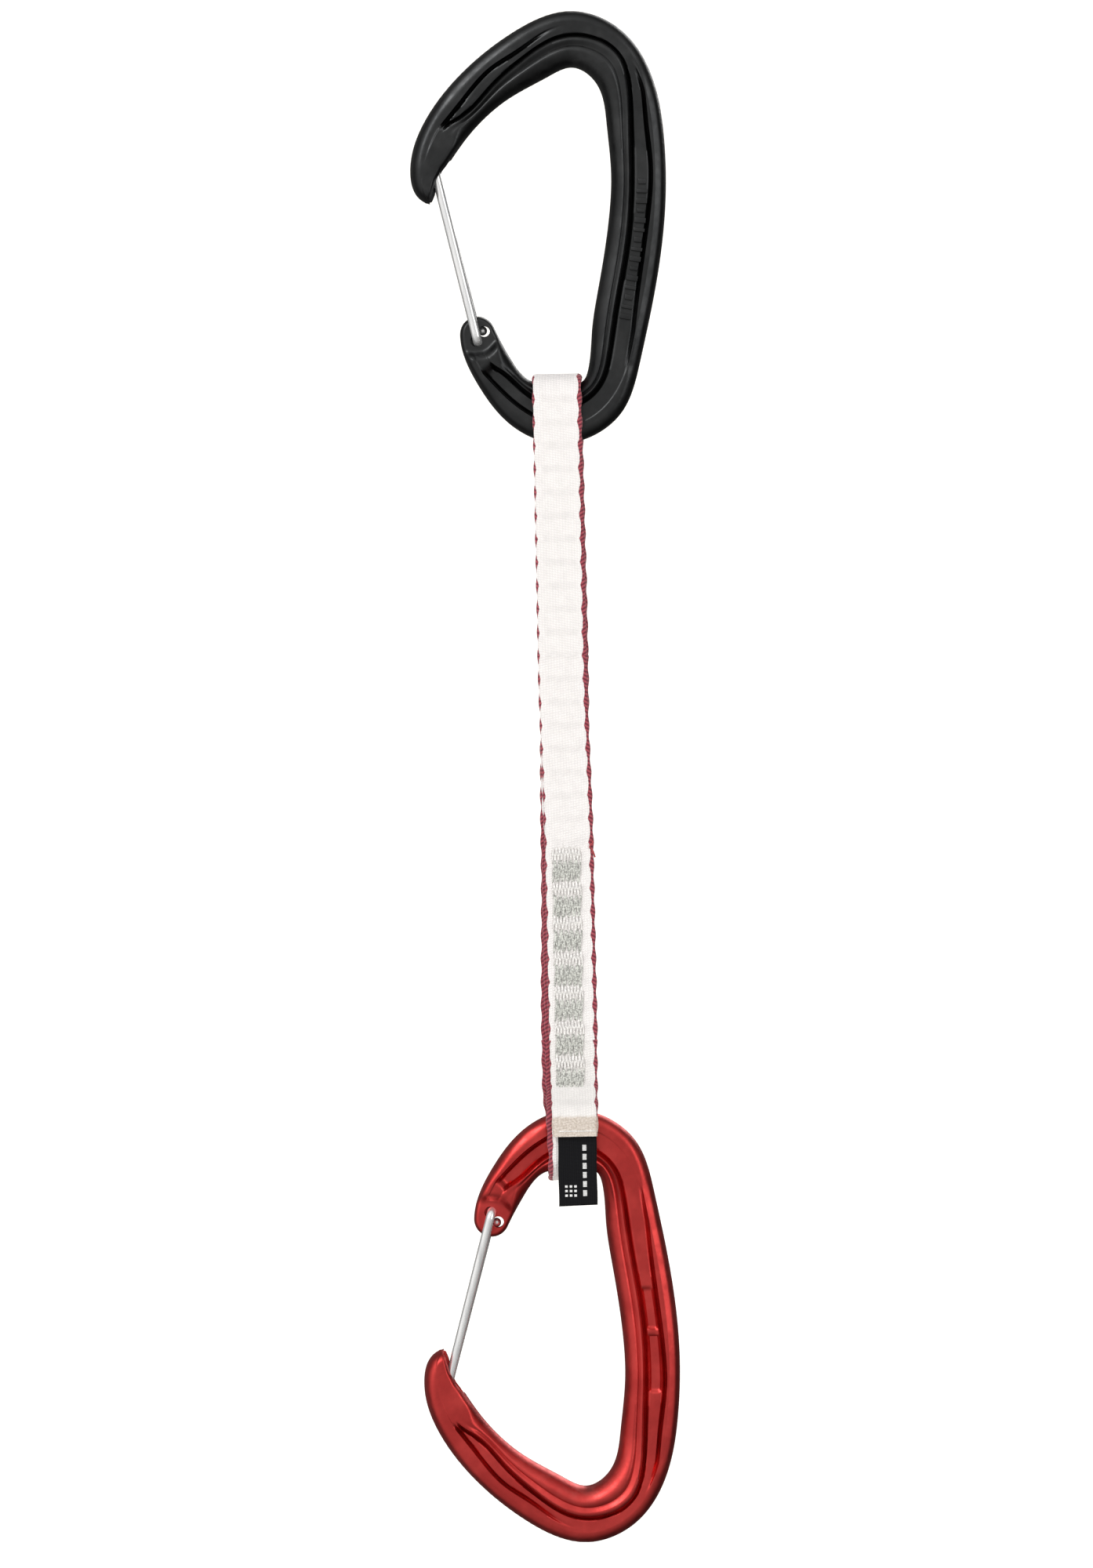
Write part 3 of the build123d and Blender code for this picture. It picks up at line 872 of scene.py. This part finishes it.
black_finish = anodised("black_anodised_finish", deep=(0.040, 0.041, 0.042), pale=(0.055, 0.056, 0.057),
                        rubbed=(0.16, 0.16, 0.165), roughness=0.36)
red_finish = anodised("red_anodised_finish", deep=(0.52, 0.048, 0.045), pale=(0.66, 0.068, 0.062),
                      rubbed=(0.74, 0.26, 0.23), roughness=0.4)
wire_finish = bright_wire()
tape_finish = woven_tape("sling_tape_finish", (0.95, 0.915, 0.905))
under_finish = woven_tape("sling_under_finish", (0.93, 0.89, 0.88), edging=1.7, lobes=0.2)
back_finish = woven_tape("sling_back_finish", (0.93, 0.89, 0.88), wider_from=76.0)
tail_finish = woven_tape("sling_tail_finish", (0.92, 0.89, 0.87), sealed_from=18.6)
tack_grey = sewing_thread("tack_thread_finish", (0.30, 0.30, 0.28), (0.74, 0.75, 0.70))
tack_white = sewing_thread("white_thread_finish", (0.64, 0.62, 0.60), (0.95, 0.93, 0.91))
red_thread = sewing_thread("red_thread_finish", (0.22, 0.015, 0.02), (0.5, 0.05, 0.06))
mark_thread = sewing_thread("label_thread_finish", (0.7, 0.7, 0.7), (0.9, 0.9, 0.9))
label_finish = label_cloth()


def dress(obj, material):
    """Gives a piece its one material."""
    obj.data.materials.clear()
    obj.data.materials.append(material)
    return obj


# ---------------------------------------------------------------- carabiners and gates

upper_body, upper_rings = forged_body("upper_forging", False)
bars = spine_bars(upper_rings)
join_into(upper_body, bars)
place_upper(upper_body)
dress(upper_body, black_finish)
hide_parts("upper_carabiner_body")
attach(upper_body, "upper_carabiner")

lower_body = forged_body("lower_forging", True)[0]
place_lower(lower_body)
dress(lower_body, red_finish)
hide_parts("lower_carabiner_body")
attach(lower_body, "lower_carabiner")

upper_gate = gate_wire("upper_gate_wire")
place_upper(upper_gate)
dress(upper_gate, wire_finish)
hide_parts("upper_wire_gate")
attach(upper_gate, "upper_gate")

lower_gate = gate_wire("lower_gate_wire")
place_lower(lower_gate)
dress(lower_gate, wire_finish)
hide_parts("lower_wire_gate")
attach(lower_gate, "lower_gate")

# ---------------------------------------------------------------- sling

half_tape = TAPE_THICK / 2 + TAPE_CLEARANCE
crown_z = bight_high.z / MM - half_tape
bend_z = -90.8              # where the sling swings, under the upper rod
split_z = -130.0            # where the upper length meets the two long ones
sewn_z = -171.7             # where the legs come together
join_z = -215.0             # foot of the sewn part
leg_y = 5.35                # distance of each leg from the mid-plane under the rod
sewn_y = 1.6                # and in the sewn part
rod_bend = 4.4              # radius of the tape round a rod


def leg_at(z):
    """Distance of a leg from the mid-plane at a height between the upper bend and the stitching."""
    return leg_y + (sewn_y - leg_y) * (bend_z - z) / (bend_z - sewn_z)


top_line = tape_path([(-leg_at(split_z), split_z), (-leg_y, bend_z), (-leg_y, crown_z), (leg_y, crown_z),
                      (leg_y, bend_z), (leg_at(split_z), split_z)], (40.0, rod_bend, rod_bend, 40.0))
top_centre = [(0, -4.55), (0.45, -4.7), (0.55, -4.5), (1, -4.15)]
top_tape, top_length = tape_strip("tape_top", top_line, top_centre, 0.0)
dress(top_tape, tape_finish)
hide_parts("tape_upper_bight")
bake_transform(top_tape)


def long_leg(name, side, centre, start_v):
    """A leg from the split to the foot of the sewn part; side is -1 in front and 1 behind."""
    corners = [(side * leg_at(split_z), split_z), (side * sewn_y, sewn_z), (side * sewn_y, join_z)]
    line = tape_path(corners, (60.0,))
    return tape_strip(name, line, centre, start_v)


front_tape, front_length = long_leg("tape_front", -1, [(0, -4.55), (0.5, -3.75), (1, -3.6)], -SCALLOP * 9)
dress(front_tape, tape_finish)
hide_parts("tape_front_leg")
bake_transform(front_tape)

back_tape, back_length = long_leg("tape_back", 1, [(0, -4.15), (0.5, -4.6), (1, -5.2)], SCALLOP * 9)
dress(back_tape, back_finish)
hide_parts("tape_back_leg")
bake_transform(back_tape)

middle_line = tape_path([(0, -172.4), (0, join_z)], ())
middle_tape, middle_length = tape_strip("tape_middle", middle_line, [(0, -4.4), (1, -4.4)], 2.0)
dress(middle_tape, under_finish)
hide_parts("tape_middle_ply")
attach(middle_tape, "sling_sewn")

tail_line = tape_path([(-sewn_y, join_z), (-sewn_y, -225.4), (-6.95, -230.6), (-6.95, -236.1)], (3.0, 3.0))
tail_tape, tail_length = tape_strip("tape_tail", tail_line, [(0, -3.6), (1, -3.5)], 0.0, width=10.6,
                                    pinch=[(0, 1.0), (0.7, 0.97), (1, 0.94)])
dress(tail_tape, tail_finish)
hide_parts("tape_front_ply", "tape_tail_end")
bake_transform(tail_tape)

fold_z = loop_low.z / MM + half_tape
loop_line = tape_path([(0, join_z), (0, -225.2), (-leg_y, -231.0), (-leg_y, fold_z), (leg_y, fold_z),
                       (leg_y, -231.0), (sewn_y, -225.2), (sewn_y, join_z)],
                      (3.0, 3.0, rod_bend, rod_bend, 3.0, 3.0))
loop_centre = [(0, -4.4), (0.3, -4.4), (0.7, -4.5), (0.85, -5.2), (1, -5.2)]
loop_pinch = [(0, 1.0), (0.28, 1.0), (0.4, 0.94), (0.6, 0.94), (0.72, 1.0), (1, 1.0)]
loop_tape, loop_length = tape_strip("tape_loop", loop_line, loop_centre, 1.2, pinch=loop_pinch)
dress(loop_tape, under_finish)
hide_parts("tape_lower_bight", "tape_back_ply")
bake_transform(loop_tape)

# ---------------------------------------------------------------- stitching and label

for number in range(7):
    node = f"bar_tack_{number + 1}"
    low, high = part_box(node)
    left, right = low.x / MM + 0.25, high.x / MM - 0.25
    bottom, top = low.z / MM, high.z / MM
    lines, pale = [], []
    for side in (-1, 1):
        face = side * 2.42
        for layer in range(2):
            zig = []
            for k in range(11):
                x = left + (right - left) * (k + 0.5 * layer) / 10.5
                reach = dice.uniform(0.0, 0.6)
                z = (top + reach) if (k + layer) % 2 else (bottom - reach)
                if zig:
                    middle = (top + bottom) / 2 + dice.uniform(-0.4, 0.4)
                    zig.append(((x + zig[-1][0]) / 2, face + side * (0.1 + 0.12 * layer), middle))
                zig.append((x, face - side * 0.12, z))
            lines.append(evenly(np.array(zig), 150))
        zig = []
        for k in range(19):
            x = left - 0.1 + (right - left + 0.2) * k / 18
            z = (top + 3.5 + dice.uniform(-0.5, 0.3)) if k % 2 else (top - 0.1 + dice.uniform(-0.4, 0.3))
            if zig:
                zig.append(((x + zig[-1][0]) / 2, face + side * 0.22, top + 1.7))
            zig.append((x, face - side * 0.16, z))
        pale.append(evenly(np.array(zig), 170))
    tack = tubes(f"tack_{number + 1}", lines, 0.2, 8, False)
    dress(tack, tack_grey)
    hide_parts(node)
    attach(tack, "sling_sewn")
    between = tubes(f"stitches_{number + 1}", pale, 0.17, 8, False)
    dress(between, tack_white)
    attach(between, "sling_sewn")

knot_line = bent_line([(0.9, -1.9, -170.2), (1.6, -2.4, -171.4), (0.7, -2.6, -172.3), (1.5, -2.2, -173.3),
                       (1.9, -1.9, -174.6)], (0.4, 0.4, 0.4), 0.1)
knot = tubes("thread_knot", [knot_line], 0.2, 8)
dress(knot, red_thread)
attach(knot, "sling_sewn")


def flap():
    """The label: a folded strip of satin, its two layers pressed together, with a soft curl."""
    low_x, high_x = label_low.x / MM, label_high.x / MM
    low_z, high_z = label_low.z / MM, label_high.z / MM
    mid_y = (label_low.y + label_high.y) / 2 / MM
    across, down = 26, 46
    rows = []
    for side in (-1, 1):
        for i in range(down + 1):
            part = i / down
            z = high_z + 1.1 + (low_z - high_z - 1.1) * part
            for k in range(across + 1):
                turn = 2 * k / across - 1
                x = (low_x + high_x) / 2 + (high_x - low_x) / 2 * turn
                rim = fall(min(1 - abs(turn), (1 - part) * 3.4) * 4.25, 0.25)
                curl = -0.25 * part ** 2 + 0.1 * math.sin(2.6 * part) * turn
                rows.append((x + 0.05 * math.sin(9 * part), mid_y + curl + side * 0.22 * rim,
                             z + 0.28 * turn * (1 - part) + 0.12 * turn * part))
    count = (down + 1) * (across + 1)
    uv = [(p[0], p[2]) for p in rows]
    faces = []
    for side in (0, 1):
        for i in range(down):
            for k in range(across):
                a = side * count + i * (across + 1) + k
                quad = (a, a + across + 1, a + across + 2, a + 1)
                faces.append(quad if side == 0 else quad[::-1])
    obj = new_object("label_flap", np.array(rows) * MM, faces, uv)
    tidy_mesh(obj, 1e-7, 60)
    return obj


label = flap()
dress(label, label_finish)
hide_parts("woven_label")
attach(label, "lower_bight")

# a column of six woven dashes and a grid of nine dots, each of short threads
marks = []
face_y = label_low.y / MM
for k in range(6):
    z0 = label_high.z / MM - 1.7 - 2.0 * k
    depth = face_y - 0.02 - 0.25 * ((k + 0.9) / 7.5) ** 2
    for row in range(6):
        z = z0 - 0.22 * row
        marks.append([(-1.95, depth, z), (-1.55, depth - 0.05, z), (-1.15, depth, z)])
for row in range(3):
    for column in range(3):
        x, z = -5.9 + 1.0 * column, label_low.z / MM + 2.1 + 1.0 * row
        for k in range(3):
            marks.append([(x, face_y - 0.2, z + 0.16 * k), (x + 0.25, face_y - 0.24, z + 0.16 * k),
                          (x + 0.5, face_y - 0.2, z + 0.16 * k)])
label_marks = tubes("label_marks", marks, 0.1, 6)
dress(label_marks, mark_thread)
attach(label_marks, "lower_bight")

stitch_rows = []
stitch_low, stitch_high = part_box("label_stitching")
for k in range(7):
    x0 = stitch_low.x / MM + 0.3 + 1.15 * k
    y0, z0 = -7.68, -234.9
    corners = [(x0, y0 + 0.1, z0), (x0 + 0.4, y0 - 0.2, z0 + 0.02), (x0 + 0.85, y0 + 0.1, z0)]
    stitch_rows.append(bent_line(corners, (1.0,), 0.12))
stitching = tubes("label_stitches", stitch_rows, 0.13, 8)
dress(stitching, tack_white)
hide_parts("label_stitching")
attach(stitching, "lower_bight")

# ---------------------------------------------------------------- studio


def studio_surface():
    """A pale floor that curves up into a plain backdrop."""
    profile = bent_line([(0, -3.2, -0.9), (0, 3.2, -0.9), (0, 3.2, 2.6)], (0.4,), 0.05)
    points, faces = [], []
    for x in (-3.2, 3.2):
        points += [(x, p[1], p[2]) for p in profile]
    n = len(profile)
    for i in range(n - 1):
        faces.append((i, i + 1, n + i + 1, n + i))
    obj = new_object("studio", points, faces)
    f = Finish("studio_finish", (0.9, 0.895, 0.88), 0.9)
    f.paint(f.mix(f.noise(1.5, 2), (0.90, 0.893, 0.875), (0.915, 0.91, 0.895)))
    f.shader.inputs["Emission Color"].default_value = (0.9, 0.885, 0.85, 1)
    f.shader.inputs["Emission Strength"].default_value = 0.4
    obj.data.materials.append(f.material)
    obj.visible_glossy = False


def soft_light(name, place, target, size, power, tint=(1, 1, 1)):
    data = bpy.data.lights.new(name, "AREA")
    data.shape = "RECTANGLE"
    data.size, data.size_y = size
    data.energy = power
    data.color = tint
    obj = bpy.data.objects.new(name, data)
    obj.location = place
    obj.rotation_euler = (Vector(target) - Vector(place)).to_track_quat("-Z", "Y").to_euler()
    bpy.context.scene.collection.objects.link(obj)


def studio_air():
    """Air that is brightest before the object, from above and from its gate side, and dim behind it."""
    world = bpy.data.worlds.new("studio_air")
    world.use_nodes = True
    air = Nodes(world.node_tree)
    towards = air.node("ShaderNodeSeparateXYZ")
    air.link(air.node("ShaderNodeTexCoord").outputs["Generated"], towards.inputs[0])
    side = air.math("MULTIPLY_ADD", towards.outputs["X"], -0.30, 0.62)
    side = air.math("MULTIPLY_ADD", towards.outputs["Z"], 0.30, side)
    lit = air.math("MULTIPLY", side, air.ramp(towards.outputs["Y"], 0.35, -0.45, 0.2, 1.0))
    seen = air.node("ShaderNodeLightPath").outputs["Is Camera Ray"]
    background = world.node_tree.nodes["Background"]
    shown = air.math("MULTIPLY_ADD", seen, air.math("SUBTRACT", 0.9, lit), lit)
    air.link(shown, background.inputs["Strength"])
    background.inputs["Color"].default_value = (1.0, 0.99, 0.975, 1)
    bpy.context.scene.world = world


studio_surface()
studio_air()
middle = (-0.0085, 0.0, -0.158)
soft_light("key", (-0.75, -1.1, 0.75), middle, (0.7, 0.7), 9)
soft_light("fill", (0.95, -0.9, 0.1), middle, (0.6, 1.0), 3.5)
soft_light("rear", (0.5, 1.3, 0.6), middle, (0.9, 0.9), 6)

camera_data = bpy.data.cameras.new("camera")
camera_data.lens = 200
camera_data.sensor_width = 36
camera_data.clip_end = 20
camera = bpy.data.objects.new("camera", camera_data)
frame_height = 346.8 * MM       # what the picture's height takes in at the object
distance = frame_height * camera_data.lens / camera_data.sensor_width
lean = math.radians(0.996)      # the sling hangs a degree off the picture's upright
right = Vector((math.cos(lean), 0, -math.sin(lean)))
up = Vector((math.sin(lean), 0, math.cos(lean)))
back = Vector((0, -1, 0))
place = Matrix.Identity(4)
for column, axis in enumerate((right, up, back)):
    for row in range(3):
        place[row][column] = axis[row]
place.translation = Vector((middle[0], -distance, -0.1583))
camera.matrix_world = place
bpy.context.scene.collection.objects.link(camera)
bpy.context.scene.camera = camera
bpy.context.scene.view_settings.view_transform = "Standard"
